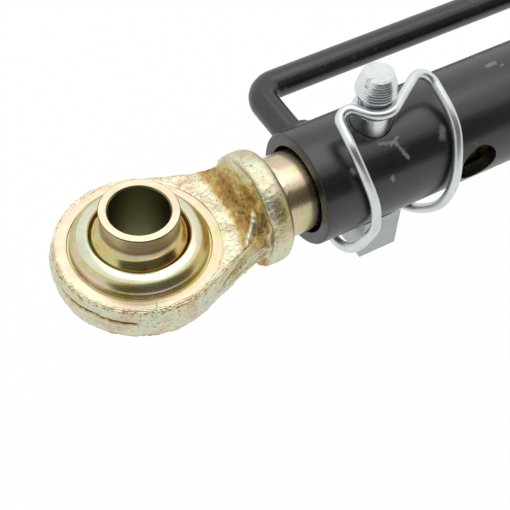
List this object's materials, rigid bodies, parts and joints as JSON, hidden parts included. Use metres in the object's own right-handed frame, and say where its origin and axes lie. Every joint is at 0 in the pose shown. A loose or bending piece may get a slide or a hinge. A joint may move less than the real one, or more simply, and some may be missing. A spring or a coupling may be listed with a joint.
{
  "type": "stabilizer link",
  "caption": "Telescoping stabilizer link for a tractor's lower links: ball eye at each end, handled tube, lock pin with a wire clip, and a screwed rear rod end with a jam nut.",
  "frame": {"origin": "centre of the front ball, on the axis of its bore", "axes": "+X along the link from the front ball to the rear ball, +Z along the ball bores towards the lock pin's tip, +Y towards the handle"},
  "size_m": [0.5141, 0.0911, 0.0825],
  "materials": {
    "yellow_zinc": "yellow passivated zinc over a rough forging, with turned faces",
    "ball_steel": "yellow passivated zinc on turned and ground steel",
    "black_paint": "satin black paint with scuffs",
    "painted_weld": "weld bead under the same black paint",
    "bright_zinc": "bright blue-white zinc with turning marks",
    "spring_wire": "bright zinc on drawn spring wire"
  },
  "bodies": {
    "tube_body": {"tube": "black_paint", "handle": "black_paint", "front_handle_weld": "painted_weld", "rear_handle_weld": "painted_weld", "threaded_bush": "black_paint", "bush_weld": "painted_weld"},
    "front_rod": {"front_rod_end": "yellow_zinc"},
    "front_ball_body": {"front_ball": "ball_steel"},
    "lock_pin_body": {"lock_pin": "bright_zinc"},
    "clip_body": {"wire_clip": "spring_wire"},
    "jam_nut_body": {"jam_nut": "yellow_zinc"},
    "rear_rod": {"rear_rod_end": "yellow_zinc"},
    "rear_ball_body": {"rear_ball": "ball_steel"}
  },
  "joints": [
    {"name": "rod_slide", "type": "slide", "parent": "tube_body", "child": "front_rod", "axis": [-1, 0, 0], "range_m": [-0.012, 0.012]},
    {"name": "front_ball_tilt", "type": "hinge", "parent": "front_rod", "child": "front_ball_body", "pos_m": [0, 0, 0], "axis": [0, 1, 0], "range_deg": [-12, 12]},
    {"name": "pin_pull", "type": "slide", "parent": "tube_body", "child": "lock_pin_body", "axis": [0, 0, -1], "range_m": [0, 0.068]},
    {"name": "clip_swing", "type": "hinge", "parent": "lock_pin_body", "child": "clip_body", "pos_m": [0.098, 0, -0.0295], "axis": [1, 0, 0], "range_deg": [0, 143]},
    {"name": "rear_adjust", "type": "slide", "parent": "tube_body", "child": "rear_rod", "axis": [1, 0, 0], "range_m": [-0.025, 0.035]},
    {"name": "rear_ball_tilt", "type": "hinge", "parent": "rear_rod", "child": "rear_ball_body", "pos_m": [0.4493, 0, 0], "axis": [0, 1, 0], "range_deg": [-12, 12]},
    {"name": "jam_nut_turn", "type": "hinge", "parent": "tube_body", "child": "jam_nut_body", "pos_m": [0.3428, 0, 0], "axis": [1, 0, 0], "continuous": true}
  ],
  "couplings": [
    {"joint": "clip_swing", "follows": "pin_pull", "rad_per_m": 36.65}
  ]
}
